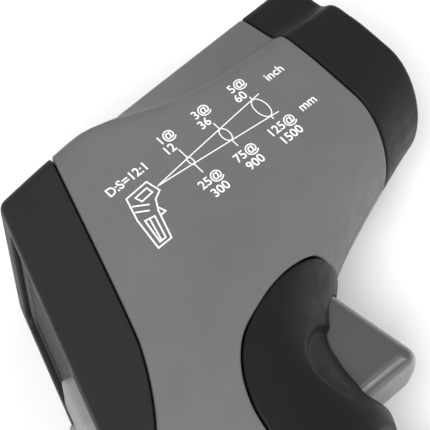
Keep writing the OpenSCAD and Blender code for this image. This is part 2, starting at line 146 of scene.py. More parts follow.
def blur(values, sigma, axis):
    """Gaussian blur of a table along one axis."""
    reach = int(3 * sigma) + 1
    kernel = np.exp(-0.5 * (np.arange(-reach, reach + 1) / sigma) ** 2)
    kernel /= kernel.sum()
    pad = [(0, 0)] * values.ndim
    pad[axis] = (reach, reach)
    padded = np.pad(values, pad, mode="reflect")
    return np.apply_along_axis(lambda line: np.convolve(line, kernel, "valid"), axis, padded)


# ---- outer form of the head: sections across the line of sight ----
FRONT = NOSE_X + 3
HALF_W = smooth_table([(-64, 21), (-21, 21), (NOSE_SEAM_X, 18.1), (NOSE_X, 17.2), (FRONT, 17)])
RIDGE_Y = smooth_table([(-64, 13.5), (FACE_X, 19.4), (-21, 20.6), (-14, 21.6), (-8, 22.9), (-3, 23.6),
                        (3, 23.8), (10, 23.9), (NOSE_SEAM_X, 24), (FRONT, 24)])
CREASE_Y = smooth_table([(-64, 13.5), (FACE_X, 19.4), (-21, 20.6), (-14, 21), (-8, 20.4), (-3, 18.5),
                         (3, 16.5), (14, 15), (FRONT, 14.7)])
CREASE_Z = smooth_table([(-64, 17), (-14, 17), (-8, 17.6), (3, 16.0), (14, 14.7), (NOSE_SEAM_X, 13.0),
                         (NOSE_X, 11.9), (FRONT, 11.7)])
SHOULDER_Y = smooth_table([(-64, 13.5), (FACE_X, 19.4), (-21, 20.6), (-14, 21), (-8, 19.4), (-3, 17.6),
                           (3, 15.6), (14, 13.8), (NOSE_SEAM_X, 13), (FRONT, 12.4)])
SHOULDER_Z = smooth_table([(-64, 19.2), (-14, 19.2), (-8, 19), (3, 17.8), (14, 17), (NOSE_SEAM_X, 15.9),
                           (NOSE_X, 14.6), (FRONT, 14.3)])
SIDE_TOP_Y = smooth_table([(-64, 11.7), (FACE_X, 17.6), (-21, 18.8), (-14, 19), (-8, 17.2), (-3, 15),
                           (3, 12.6), (14, 10.6), (NOSE_SEAM_X, 9.5), (FRONT, 8.4)])
SIDE_LOW_Y = smooth_table([(-64, -30), (-21, -26), (0, -17), (NOSE_SEAM_X, -6.5), (FRONT, -2)])
SIDE_CROWN = smooth_table([(-64, 0), (-21, 0), (NOSE_SEAM_X, 0.7), (FRONT, 0.8)])
UNDER_Y = smooth_table([(-64, -43), (-53, -46.5), (-48, -53), (-42, -58), (-30, -59), (-18, -49),
                        (-10, -37), (3, -27.2), (8, -24.2), (14, -21.4), (21.5, -18.6),
                        (NOSE_SEAM_X, -16.1), (NOSE_X, -12.5), (FRONT, -12)])
RIDGE_HALF_W = 10.0
RIDGE_EDGE_DROP = 0.06
RIDGE_EDGE_OUT = 0.5
SIDE_STOPS = (0.2, 0.35, 0.5, 0.75)
ARC_POINTS = 24
EDGE_POINTS = 12
SECTION_FROM = -62.0
SECTION_STEP = 0.5
ANGLES = np.linspace(0, math.pi, 541)
# Blur of the sections' edges, in steps of ANGLES and of SECTION_STEP.
SOFT_AROUND = 7.0
SOFT_ALONG = 2.2


def section_outline(x):
    """Right half of the head's section at x, from the ridge down to the underside."""
    w, top, crease, crease_z = (read(t, x) for t in (HALF_W, RIDGE_Y, CREASE_Y, CREASE_Z))
    shoulder, shoulder_z = read(SHOULDER_Y, x), read(SHOULDER_Z, x)
    side_top, side_low = read(SIDE_TOP_Y, x), read(SIDE_LOW_Y, x)
    under, crown = read(UNDER_Y, x), read(SIDE_CROWN, x)
    quarter = np.linspace(0, math.pi / 2, ARC_POINTS)
    points = [(top, 0), (top, RIDGE_HALF_W),
              (top - RIDGE_EDGE_DROP * (top - shoulder), RIDGE_HALF_W + RIDGE_EDGE_OUT),
              (crease, crease_z)]
    points += [(side_top + (shoulder - side_top) * math.cos(a),
                shoulder_z + (w - crown - shoulder_z) * math.sin(a)) for a in quarter]
    points += [(side_top + (side_low - side_top) * f, w - crown * (1 - 2 * f) ** 2 * (f < 0.5))
               for f in SIDE_STOPS]
    points += [(side_low + (under - side_low) * math.sin(a), w * math.cos(a)) for a in quarter]
    return np.array(points)


def head_tables():
    """The head's radius by x and angle, and the factor that turns it into a distance."""
    rows = []
    for x in np.arange(SECTION_FROM, FRONT, SECTION_STEP):
        outline = section_outline(x)
        dense = np.concatenate([a + (b - a) * np.linspace(0, 1, EDGE_POINTS)[:, None]
                                for a, b in zip(outline[:-1], outline[1:])])
        angle = np.arctan2(dense[:, 1], dense[:, 0])
        order = np.argsort(angle)
        rows.append(np.interp(ANGLES, angle[order], np.hypot(dense[:, 0], dense[:, 1])[order]))
    radius = blur(blur(np.array(rows), SOFT_AROUND, 1), SOFT_ALONG, 0)
    by_angle = np.gradient(radius, ANGLES, axis=1) / radius
    by_x = np.gradient(radius, SECTION_STEP, axis=0)
    return radius, 1 / np.sqrt(1 + by_angle ** 2 + by_x ** 2)


HEAD_RADIUS, HEAD_FACTOR = head_tables()


def head_side(x, y, z):
    """Signed distance to the head's sections, negative inside."""
    r = np.hypot(y, z)
    angle = np.arctan2(np.abs(z), y)
    i = np.clip((x - SECTION_FROM) / SECTION_STEP, 0, HEAD_RADIUS.shape[0] - 1.001)
    j = np.clip(angle / (ANGLES[1] - ANGLES[0]), 0, HEAD_RADIUS.shape[1] - 1.001)
    i0, j0 = i.astype(int), j.astype(int)
    fi, fj = i - i0, j - j0

    def bilinear(t):
        return ((t[i0, j0] * (1 - fj) + t[i0, j0 + 1] * fj) * (1 - fi)
                + (t[i0 + 1, j0] * (1 - fj) + t[i0 + 1, j0 + 1] * fj) * fi)

    return (r - bilinear(HEAD_RADIUS)) * bilinear(HEAD_FACTOR)


def face_depth(x, y):
    """Depth behind the display face's plane, positive inside the instrument."""
    return (x - FACE_X) * math.cos(FACE_LEAN) - (y - FACE_Y) * math.sin(FACE_LEAN)


def face_down(x, y):
    """Distance down the display face from its datum."""
    return -(x - FACE_X) * math.sin(FACE_LEAN) - (y - FACE_Y) * math.cos(FACE_LEAN)


def face_point(depth, down):
    """x and y of a place on or behind the display face."""
    return (FACE_X + depth * math.cos(FACE_LEAN) - down * math.sin(FACE_LEAN),
            FACE_Y - depth * math.sin(FACE_LEAN) - down * math.cos(FACE_LEAN))


# ---- outer form of the handle: sections across its own axis ----
# Depth to the front and the back and half width, by distance down the handle.
FRONT_D = smooth_table([(HANDLE_TOP - 4, 31), (-35, 29.5), (-32, 27.4), (-30, 26), (-27.5, 24.7),
                        (-25, 23.8), (-22, 23.3), (-13, 23.3), (-10.5, 24.1), (-8.5, 24.7), (-5, 24),
                        (0, 23.6), (12, 23), (40, 22), (HANDLE_LEN, HANDLE_HALF_D)])
BACK_D = smooth_table([(HANDLE_TOP - 4, 20), (0, 23), (40, 22), (HANDLE_LEN, HANDLE_HALF_D)])
GRIP_W = smooth_table([(HANDLE_TOP - 4, 18), (-20, 19), (-8, 18.6), (0, 17.6), (40, HANDLE_HALF_W),
                       (HANDLE_LEN, HANDLE_HALF_W + 0.8)])
# Exponent of the handle's section, between an ellipse (2) and a rectangle.
SQUARENESS = 2 / 0.87
MIN_SLOPE = 0.03
TOP_ROUND = 1.0
# The round at the handle's foot, a little fuller than the CAD model's.
FOOT_ROUND = 3.0


def handle_uv(x, y):
    """Position across (towards the front) and down the handle."""
    dx, dy = x - HANDLE_X, y - HANDLE_Y
    u = dx * math.cos(HANDLE_LEAN) - dy * math.sin(HANDLE_LEAN)
    t = -dx * math.sin(HANDLE_LEAN) - dy * math.cos(HANDLE_LEAN)
    return u, t


def handle_point(u, t):
    """x and y of a place across and down the handle."""
    return (HANDLE_X + u * math.cos(HANDLE_LEAN) - t * math.sin(HANDLE_LEAN),
            HANDLE_Y - u * math.sin(HANDLE_LEAN) - t * math.cos(HANDLE_LEAN))


def handle_form(x, y, z):
    """The handle, with its rounded foot."""
    u, t = handle_uv(x, y)
    depth = np.where(u > 0, read(FRONT_D, t), read(BACK_D, t))
    width = read(GRIP_W, t)
    a = np.abs(u) / depth
    b = np.abs(z) / width
    level = (a ** SQUARENESS + b ** SQUARENESS) ** (1 / SQUARENESS)
    safe = np.maximum(level, 1e-6)
    da = (a / safe) ** (SQUARENESS - 1) / depth
    db = (b / safe) ** (SQUARENESS - 1) / width
    side = (level - 1) / np.maximum(np.hypot(da, db), MIN_SLOPE)
    return round_max(round_max(side, t - HANDLE_LEN, FOOT_ROUND), HANDLE_TOP - TOP_ROUND - t, TOP_ROUND)


NOSE_EDGE_R = 1.3
HANDLE_FILLET_R = 3.0
FACE_EDGE_R = 1.1


def body_form(x, y, z):
    """The whole outer form: head and handle, without seams or openings."""
    head = round_max(head_side(x, y, z), x - NOSE_X, NOSE_EDGE_R)
    both = round_min(head, handle_form(x, y, z), HANDLE_FILLET_R)
    return np.maximum(round_max(both, -face_depth(x, y), FACE_EDGE_R), np.abs(z) - HEAD_HALF_W)


# ---- meshing a field ----
# The furthest that a point moves in one round, and the least slope that a move is reckoned with.
SHIFT_LIMIT = 0.6
SLOPE_FLOOR = 0.05
# The same towards a cut, in mesh steps, and how near the cut a point is drawn on to it.
CUT_SHIFT_LIMIT = 0.4
CUT_SLOPE_FLOOR = 0.2
CUT_REACH = 0.28
# Radius of a moulding's outer edges.
EDGE_ROUND = 0.4


def field_mesh(field, low, high, step):
    """Surface of field = 0 inside a box, as vertices and quads (surface nets)."""
    axes = [np.arange(low[k], high[k] + step, step) for k in range(3)]
    grid = np.meshgrid(*axes, indexing="ij")
    value = field(*grid)
    inside = value < 0
    size = tuple(n - 1 for n in value.shape)
    total = np.zeros(size + (3,))
    count = np.zeros(size)
    corners = [(a, b, c) for a in (0, 1) for b in (0, 1) for c in (0, 1)]

    def part(array, corner):
        i, j, k = corner
        return array[i:i + size[0], j:j + size[1], k:k + size[2]]

    for p in corners:
        for axis in range(3):
            if p[axis]:
                continue
            q = list(p)
            q[axis] = 1
            va, vb = part(value, p), part(value, q)
            cross = part(inside, p) != part(inside, q)
            f = np.where(cross, va / np.where(cross, va - vb, 1), 0)
            for k in range(3):
                total[..., k] += np.where(cross, p[k] + (f if k == axis else 0), 0)
            count += cross
    used = count > 0
    number = np.full(size, -1)
    number[used] = np.arange(used.sum())
    cell = np.argwhere(used)
    points = np.array(low) + step * (cell + total[used] / count[used][:, None])
    quads = []
    for axis in range(3):
        b, c = (axis + 1) % 3, (axis + 2) % 3
        at = np.argwhere(np.diff(inside, axis=axis))
        at = at[(at[:, b] > 0) & (at[:, c] > 0) & (at[:, b] < size[b]) & (at[:, c] < size[c])]
        out = inside[at[:, 0], at[:, 1], at[:, 2]]
        ring = []
        for db, dc in ((0, 0), (1, 0), (1, 1), (0, 1)):
            near = at.copy()
            near[:, b] -= db
            near[:, c] -= dc
            ring.append(number[near[:, 0], near[:, 1], near[:, 2]])
        ring = np.stack(ring, 1)
        quads.append(np.where(out[:, None], ring, ring[:, ::-1]))
    return points, np.concatenate(quads)


def gradient(field, points, reach=0.05):
    """Slope of a field at each point."""
    out = np.empty_like(points)
    for k in range(3):
        ahead, behind = points.copy(), points.copy()
        ahead[:, k] += reach
        behind[:, k] -= reach
        out[:, k] = (field(*ahead.T) - field(*behind.T)) / (2 * reach)
    return out


def unit(vectors):
    return vectors / np.maximum(np.linalg.norm(vectors, axis=1, keepdims=True), 1e-9)


def settle(field, points, rounds=2):
    """Moves points onto field = 0."""
    for _ in range(rounds):
        slope = gradient(field, points)
        length = np.maximum((slope ** 2).sum(1), SLOPE_FLOOR)
        step = field(*points.T) / length
        points = points - slope * np.clip(step, -SHIFT_LIMIT, SHIFT_LIMIT)[:, None]
    return points


def relax(field, points, quads, rounds=3):
    """Evens out the mesh along the surface."""
    edges = np.concatenate([quads[:, [k, (k + 1) % 4]] for k in range(4)])
    count = np.bincount(edges.ravel(), minlength=len(points))[:, None]
    for _ in range(rounds):
        mean = np.zeros_like(points)
        for k in range(3):
            mean[:, k] = (np.bincount(edges[:, 0], points[edges[:, 1], k], len(points))
                          + np.bincount(edges[:, 1], points[edges[:, 0], k], len(points)))
        points = settle(field, points + 0.5 * (mean / np.maximum(count, 1) - points), 1)
    return settle(field, points, 2)


def draw_to_cut(points, field, region, step):
    """Slides points along a surface on to the cut, where region = 0."""
    for _ in range(3):
        normal = unit(gradient(field, points))
        slope = gradient(region, points)
        along = slope - normal * (slope * normal).sum(1, keepdims=True)
        length = np.maximum((along ** 2).sum(1, keepdims=True), CUT_SLOPE_FLOOR)
        shift = along * (region(*points.T)[:, None] / length)
        size = np.linalg.norm(shift, axis=1, keepdims=True)
        points = points - shift * np.minimum(1, CUT_SHIFT_LIMIT * step / np.maximum(size, 1e-9))
        points = settle(field, points, 1)
    return points


def split_quads(points, quads, value):
    """Faces where value < 0, with the quads across value = 0 cut, and the new points on the cut."""
    side = np.sign(value)
    corner = side[quads]
    whole = (corner <= 0).all(1) & (corner < 0).any(1)
    mixed = (corner > 0).any(1) & (corner < 0).any(1)
    faces = [tuple(f) for f in quads[whole].tolist()]
    extra = []
    made = {}
    for quad in quads[mixed].tolist():
        polygon = []
        for a, b in zip(quad, quad[1:] + quad[:1]):
            if side[a] <= 0:
                polygon.append(a)
            if side[a] * side[b] < 0:
                key = (min(a, b), max(a, b))
                if key not in made:
                    made[key] = len(points) + len(extra)
                    f = value[key[0]] / (value[key[0]] - value[key[1]])
                    extra.append(points[key[0]] + f * (points[key[1]] - points[key[0]]))
                polygon.append(made[key])
        if len(polygon) > 2:
            faces.append(tuple(polygon))
    return faces, extra


def clip_surface(points, quads, field, region, step):
    """Keeps the part of a surface where region < 0. Returns points, faces and the cut's edges."""
    value = region(*points.T)
    near = np.abs(value) < CUT_REACH * step
    if near.any():
        points = points.copy()
        points[near] = draw_to_cut(points[near], field, region, step)
        value = region(*points.T)
        value[near] = 0
    faces, extra = split_quads(points, quads, value)
    if extra:
        points = np.concatenate([points, settle(field, np.array(extra), 1)])
    used = sorted({i for f in faces for i in f})
    renumber = {old: new for new, old in enumerate(used)}
    faces = [tuple(renumber[i] for i in f) for f in faces]
    directed = dict.fromkeys(edge for f in faces for edge in zip(f, f[1:] + f[:1]))
    cut = [(a, b) for a, b in directed if (b, a) not in directed]
    return points[used], faces, cut


def moulding(points, quads, field, region, step):
    """A moulded wall: the surface where region < 0, with rounded cut edges and a real thickness."""
    points, faces, cut = clip_surface(points, quads, field,
                                      lambda x, y, z: region(x, y, z) + EDGE_ROUND, step)
    normal = unit(gradient(field, points))
    rim = sorted({i for e in cut for i in e})
    place = {old: k for k, old in enumerate(rim)}
    at = points[rim]
    out = normal[rim]
    slope = gradient(region, at, 0.1)
    along = unit(slope - out * (slope * out).sum(1, keepdims=True))
    rows = [at + EDGE_ROUND * (math.sin(a) * along - (1 - math.cos(a)) * out)
            for a in map(math.radians, (30, 60, 90))]
    rows.append(at + EDGE_ROUND * along - WALL * out)
    n, m = len(points), len(rim)
    inner_start = n + m * len(rows)
    all_points = np.concatenate([points] + rows + [points - WALL * normal])
    all_faces = list(faces)
    for a, b in cut:
        last = (a, b)
        for r in range(len(rows)):
            now = (n + r * m + place[a], n + r * m + place[b])
            all_faces.append((last[1], last[0], now[0], now[1]))
            last = now
        all_faces.append((last[1], last[0], inner_start + a, inner_start + b))
    all_faces += [tuple(inner_start + i for i in reversed(f)) for f in faces]
    return all_points, all_faces


def full_mesh(field, low, high, step):
    """The whole surface of a field inside a box, evened out."""
    points, quads = field_mesh(field, low, high, step)
    return relax(field, points, quads), quads


def put_in_scene(thing):
    """Links a Blender object to the scene and hands it back."""
    bpy.context.scene.collection.objects.link(thing)
    return thing


def make_mesh(name, points, faces, material, body, slot, replaces=()):
    """A Blender object from millimetre points, riding on a body."""
    mesh = bpy.data.meshes.new(name)
    metres = np.asarray(points) / 1000 + DATUM
    mesh.from_pydata(metres.tolist(), [], [list(map(int, f)) for f in faces])
    mesh.validate()
    mesh.update()
    mesh.materials.append(material)
    mesh.polygons.foreach_set("use_smooth", [True] * len(mesh.polygons))
    piece = put_in_scene(bpy.data.objects.new(name, mesh))
    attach(piece, body)
    if replaces:
        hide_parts(*replaces)
    return piece


# ---- seams, seen from the side ----
CURVE_STEPS = 10


def curve(points):
    """A smooth curve through a list of points."""
    p = np.array([points[0]] + list(points) + [points[-1]], float)
    out = []
    for k in range(1, len(p) - 2):
        a, b, c, d = p[k - 1:k + 3]
        for f in np.arange(0, 1, 1 / CURVE_STEPS):
            out.append(0.5 * (2 * b + (c - a) * f + (2 * a - 5 * b + 4 * c - d) * f ** 2
                              + (3 * b - a - 3 * c + d) * f ** 3))
    return [tuple(q) for q in out] + [tuple(points[-1])]


def polygon_field(points):
    """Signed distance to a closed outline in x and y, negative inside."""
    start = np.array(points)
    end = np.roll(start, -1, axis=0)

    def field(x, y):
        best = np.full(np.shape(x), 1e9)
        inside = np.zeros(np.shape(x), bool)
        for (ax, ay), (bx, by) in zip(start, end):
            ex, ey = bx - ax, by - ay
            f = np.clip(((x - ax) * ex + (y - ay) * ey) / max(ex * ex + ey * ey, 1e-12), 0, 1)
            best = np.minimum(best, (x - ax - f * ex) ** 2 + (y - ay - f * ey) ** 2)
            if ay != by:
                cross = (ay > y) != (by > y)
                inside ^= cross & (x < ax + (y - ay) / (by - ay) * ex)
        return np.sqrt(best) * np.where(inside, -1, 1)

    return field


BEZEL_SEAM = curve([(-19.2, 24.9), (-21, 20), (-30.9, -9.8), (-35.1, -20.3), (-41.5, -30.2),
                    (-49, -37.8), (-57, -42.8), (-66, -46)])
DOOR_SEAM = curve([(4.6, -25.2), (1.5, -24.1), (-6, -24.1), (-13.1, -25.6), (-19.6, -28.5),
                   (-24, -32.9), (-26.8, -38.4), (-28, -44)])
DOOR_FOOT_U = 1.6
DOOR_FOOT_ROUND = 2.0
DOOR_CORNER = [handle_point(DOOR_FOOT_U + DOOR_FOOT_ROUND * (1 - math.cos(a)),
                            HINGE_T - DOOR_FOOT_ROUND * (1 - math.sin(a)))
               for a in np.linspace(0, math.pi / 2, 8)]
# Both areas are closed well outside the instrument.
bezel_area = polygon_field(BEZEL_SEAM + [(-90, -60), (-90, 40), (-19, 40)])
door_area = polygon_field([(40, -35.1)] + DOOR_SEAM + [handle_point(DOOR_FOOT_U, 10)] + DOOR_CORNER
                          + [handle_point(40, HINGE_T), (40, -60)])
HINGE_AT = handle_point(HINGE_U, HINGE_T)
# The case's ears at the hinge reach out to the handle's sides, further than the CAD model's.
EAR_HALF_W = 20.0


def hinge_distance(x, y):
    return np.hypot(x - HINGE_AT[0], y - HINGE_AT[1])


TRIGGER_CROWN = 2.4
SLOT_FRONT_X = 3.8
SLOT_BACK_X = -24.0
SLOT_TOP_Y = -16.0
SLOT_FOOT_Y = -47.6
SLOT_ROUND = 1.6


def front_crown(z):
    """How far the trigger's front falls back from its middle."""
    return TRIGGER_CROWN * (z / TRIGGER_HALF_W) ** 2


def trigger_slot(x, y, z):
    """The slot that the trigger moves in, negative inside."""
    across = round_max(np.abs(z) - SLOT_HALF_W, x - SLOT_FRONT_X + front_crown(z), SLOT_ROUND)
    return np.maximum(np.maximum(across, y - SLOT_TOP_Y), np.maximum(SLOT_BACK_X - x, SLOT_FOOT_Y - y))


def screw_holes(x, y, z):
    """The screw holes in the left side, negative inside."""
    nearest = np.min([np.hypot(x - a, y - b) for a, b in SCREW_AT], axis=0)
    return np.maximum(nearest - SCREW_HOLE_R, z)


# The joint above the door is thin down to this height, and then widens to a full gap.
THIN_JOINT_Y = -24.6
JOINT_TAPER = 2.5
THIN_JOINT = 0.3
ROLL_CLEARANCE = 0.3
HALF_SEAM = 0.05


def shell_region(side):
    """Where the right (side 1) or left (side -1) half of the case is, negative inside."""
    def region(x, y, z):
        ear = np.maximum(hinge_distance(x, y) - ROLL_R, np.abs(z) - EAR_HALF_W)
        gap = GAP * np.clip((THIN_JOINT_Y - y) / JOINT_TAPER, THIN_JOINT, 1)
        beside_door = np.minimum(gap - door_area(x, y), ear)
        cove = np.maximum(hinge_distance(x, y) - ROLL_R - 2 * GAP,
                          np.abs(z) - ROLL_HALF_LEN - ROLL_CLEARANCE)
        cuts = [GAP - bezel_area(x, y), x - NOSE_SEAM_X + GAP, beside_door, -cove,
                HALF_SEAM - side * z, -trigger_slot(x, y, z)]
        if side < 0:
            cuts.append(-screw_holes(x, y, z))
        return np.max(cuts, axis=0)
    return region


def door_region(x, y, z):
    """Where the battery door is, negative inside."""
    ears = np.maximum(hinge_distance(x, y) - ROLL_R - GAP, ROLL_HALF_LEN - np.abs(z))
    return np.max([door_area(x, y), -trigger_slot(x, y, z), -ears], axis=0)


def rounded_box(a, b, half_a, half_b, radius):
    """Field of a rectangle with round corners."""
    da, db = np.abs(a) - half_a + radius, np.abs(b) - half_b + radius
    return np.hypot(np.maximum(da, 0), np.maximum(db, 0)) + np.minimum(np.maximum(da, db), 0) - radius


PANEL_ROUND = 2.5
RECESS_DEPTH = 3.0


def panel_outline(x, y, z, grow=0.0):
    """The outline of the face plate's recess."""
    down = face_down(x, y) - (PANEL_FROM + PANEL_TO) / 2
    return rounded_box(down, z, (PANEL_TO - PANEL_FROM) / 2 + grow, PANEL_HALF_W + grow, PANEL_ROUND)


def bezel_region(x, y, z):
    """Where the display bezel is, negative inside."""
    recess = np.maximum(panel_outline(x, y, z), face_depth(x, y) - RECESS_DEPTH)
    return np.maximum(bezel_area(x, y), -recess)


def nose_region(x, y, z):
    """Where the nose cap is, negative inside."""
    return NOSE_SEAM_X - x


MOUTH_X = 35.4
MOUTH_STEP = 1.0
MOUTH_OVERLAP = 0.3
MOUTH_FLARE = 0.3
BORE_CLEARANCE = 0.03
MOUTH_EDGE_R = 0.5
APERTURE_EDGE_R = 0.35


def nose_form(x, y, z):
    """The nose with the bore of the lens barrel, its flared mouth and the laser's aperture."""
    from_ir = np.hypot(y - IR_AXIS_Y, z)
    bore = np.maximum(from_ir - BARREL_R - BORE_CLEARANCE, x - MOUTH_X)
    mouth_r = BARREL_R - MOUTH_STEP + MOUTH_FLARE * (x - MOUTH_X)
    mouth = np.maximum(from_ir - mouth_r, MOUTH_X - MOUTH_OVERLAP - x)
    aperture = np.hypot(y - LASER_AXIS_Y, z) - LASER_R
    opened = np.minimum(bore, mouth)
    return round_max(round_max(body_form(x, y, z), -opened, MOUTH_EDGE_R), -aperture, APERTURE_EDGE_R)


# Finger scallops down the front of the grip: how far down and how far forward on the handle.
SCALLOPS_AT = ((-18.2, 22.1), (2.4, 23.0), (23.0, 22.4))
SCALLOP_R = 8.2
SCALLOP_DEPTH = 0.95
SCALLOP_EDGE = 0.7


def door_form(x, y, z):
    """The door's outer form: the body with the scallops pressed into it."""
    u, t = handle_uv(x, y)
    depth = 0
    for at_t, at_u in SCALLOPS_AT:
        away = np.hypot(u - at_u, t - at_t)
        edge = np.clip((SCALLOP_R - away) / SCALLOP_EDGE, 0, 1)
        below = np.clip((t - at_t) / SCALLOP_R, 0, 1)
        depth = np.maximum(depth, SCALLOP_DEPTH * edge * edge * (3 - 2 * edge) * (1 - below))
    return body_form(x, y, z) + depth


# The trigger's front is a plane that leans back from this point, crowned across its width.
TRIGGER_LEAN = math.radians(9)
TRIGGER_AT = (1.4, -27.1)
TRIGGER_FRONT = 2.0
TRIGGER_FRONT_R = 1.9
TRIGGER_FOOT = (3.4, -46.9)
TRIGGER_FOOT_SLOPE = 0.031
TRIGGER_FOOT_R = 2.6
TRIGGER_BACK_X = -11.3
TRIGGER_BACK_R = 1.0
TRIGGER_TOP_Y = -19.4
TRIGGER_TOP_X = -5.3
TRIGGER_TOP_R = 0.6
# The upward and backward parts of the slope of the trigger's top, behind TRIGGER_TOP_X.
TOP_SLOPE = (0.8, 0.6)


def trigger_form(x, y, z):
    """The trigger's blade."""
    ahead = ((x - TRIGGER_AT[0]) * math.cos(TRIGGER_LEAN)
             + (y - TRIGGER_AT[1]) * math.sin(TRIGGER_LEAN))
    foot = TRIGGER_FOOT[1] - TRIGGER_FOOT_SLOPE * (x - TRIGGER_FOOT[0]) - y
    top = (y - TRIGGER_TOP_Y) * TOP_SLOPE[0] + np.maximum(TRIGGER_TOP_X - x, 0) * TOP_SLOPE[1]
    front = ahead - (TRIGGER_FRONT - front_crown(z))
    body = round_max(np.abs(z) - TRIGGER_HALF_W, front, TRIGGER_FRONT_R)
    body = round_max(body, foot, TRIGGER_FOOT_R)
    body = round_max(body, TRIGGER_BACK_X - x, TRIGGER_BACK_R)
    return round_max(body, top, TRIGGER_TOP_R)


def roll_form(x, y, z):
    """The door's hinge roll, between the ears of the case."""
    roll = round_max(hinge_distance(x, y) - ROLL_R, np.abs(z) - ROLL_HALF_LEN, 0.4)
    return np.maximum(roll, handle_form(x, y, z))


LIP_HALF_T = 0.5
LIP_INSIDE = 0.3
LIP_HALF_LEN = 1.3


def lip_form(x, y, z):
    """The lip inside the joint between the bezel and the case halves."""
    ring = np.abs(body_form(x, y, z) + WALL + LIP_INSIDE) - LIP_HALF_T
    return np.maximum(ring, np.abs(bezel_area(x, y)) - LIP_HALF_LEN)


PLATE_HALF_T = 0.8
PLATE_OVERLAP = 0.1
DISPLAY_RIM = 0.3
DISPLAY_ROUND = 1.4
DISPLAY_EDGE_R = 0.45
KEY_GAP = 0.25
KEY_ROUND = 1.6
KEY_EDGE_R = 0.7
KEY_HOLE_EDGE_R = 0.3
KEY_TOP = -1.9
KEY_BASE = 4.2
DISH_DEPTH = 0.35
DISH_LENGTH = 3.6
DISH_WIDTH = 0.33


def key_outline(down, z, key, grow=0.0):
    """The outline of a key, or of its hole."""
    low, high, left, right = key
    return rounded_box(down - (low + high) / 2, z - (left + right) / 2, (high - low) / 2 + grow,
                       (right - left) / 2 + grow, KEY_ROUND + grow)


def plate_form(x, y, z):
    """The face plate inside the bezel's rim, with openings for the display and the keys."""
    depth, down = face_depth(x, y), face_down(x, y)
    plate = np.maximum(panel_outline(x, y, z, PLATE_OVERLAP),
                       np.abs(depth - PANEL_DEPTH - PLATE_HALF_T) - PLATE_HALF_T)
    opening = rounded_box(down - (DISPLAY_FROM + DISPLAY_TO) / 2, z,
                          (DISPLAY_TO - DISPLAY_FROM) / 2 - DISPLAY_RIM,
                          DISPLAY_HALF_W - DISPLAY_RIM, DISPLAY_ROUND)
    plate = round_max(plate, -opening, DISPLAY_EDGE_R)
    for key in KEYS.values():
        plate = round_max(plate, -key_outline(down, z, key, KEY_GAP), KEY_HOLE_EDGE_R)
    return plate


def key_form(name):
    """A key cap with a shallow dish."""
    key = KEYS[name]
    low, high, left, right = key

    def form(x, y, z):
        depth, down = face_depth(x, y), face_down(x, y)
        a, b = down - (low + high) / 2, z - (left + right) / 2
        dish = DISH_DEPTH * np.exp(-((a / DISH_LENGTH) ** 2 + (b / (DISH_WIDTH * (right - left))) ** 2))
        top = KEY_TOP + dish - depth
        return round_max(round_max(key_outline(down, z, key), top, KEY_EDGE_R), depth - KEY_BASE, 0.2)
    return form


# ---- what is moulded inside the case halves: screw towers, bearings, ribs and hinge ears ----
TOWER_R = 3.2
SCREW_SEAT = 10.0
SCREW_R = 1.25
INSERT_R = 1.1
INSERT_END = 10.1
PIN_BORE_R = 1.27
BEARING_R = 3.0
BEARING_FROM = 8.2
BEARING_BORE_TO = 10.4
EAR_FROM = 7.35
EAR_TO = 11.5
EAR_BORE_TO = 9.6
BATTERY_T0 = 26.0
BATTERY_L = 46.4
# How far into the case's wall an inner element reaches, as a share of the wall.
WALL_SHARE = 0.7


def inside_case(element):
    """Clips an inner element to the case, a little way into its wall."""
    return lambda x, y, z: np.maximum(element(x, y, z), body_form(x, y, z) + WALL_SHARE * WALL)


def tower_form(a, b, side):
    """A screw tower, with a blind bore on the right and a seat for the screw's head on the left."""
    def form(x, y, z):
        away = np.hypot(x - a, y - b)
        if side > 0:
            bore = np.maximum(away - INSERT_R, z - INSERT_END)
        else:
            bore = np.minimum(away - SCREW_R, np.maximum(away - SCREW_HOLE_R, z + SCREW_SEAT))
        return round_max(round_max(away - TOWER_R, HALF_SEAM - side * z, 0.2), -bore, 0.2)
    return inside_case(form)


def bearing_form(side):
    """The bearing at one end of the trigger's pin."""
    def form(x, y, z):
        away = np.hypot(x - PIVOT[0], y - PIVOT[1])
        bore = np.maximum(away - PIN_BORE_R, side * z - BEARING_BORE_TO)
        return round_max(round_max(away - BEARING_R, BEARING_FROM - side * z, 0.25), -bore, 0.1)
    return inside_case(form)


def ear_form(side):
    """The ear at one end of the door's pin."""
    def form(x, y, z):
        away = hinge_distance(x, y)
        ear = round_max(away - ROLL_R + 0.05, EAR_FROM - side * z, 0.3)
        ear = round_max(ear, side * z - EAR_TO, 0.3)
        return np.maximum(ear, -np.maximum(away - PIN_BORE_R, side * z - EAR_BORE_TO))
    return inside_case(form)


def rib_form(side, t0, t1, u1, inner_z):
    """A rib across the handle, from t0 to t1 down it."""
    def form(x, y, z):
        u, t = handle_uv(x, y)
        across = np.maximum(-20 - u, u - u1)
        return round_max(np.maximum(round_max(t0 - t, t - t1, 0.2), across), inner_z - side * z, 0.2)
    return inside_case(form)


BATTERY_STOP = BATTERY_T0 + BATTERY_L + 0.4
SNAP_RIB = BATTERY_T0 - 7
RIB_T = 2.0


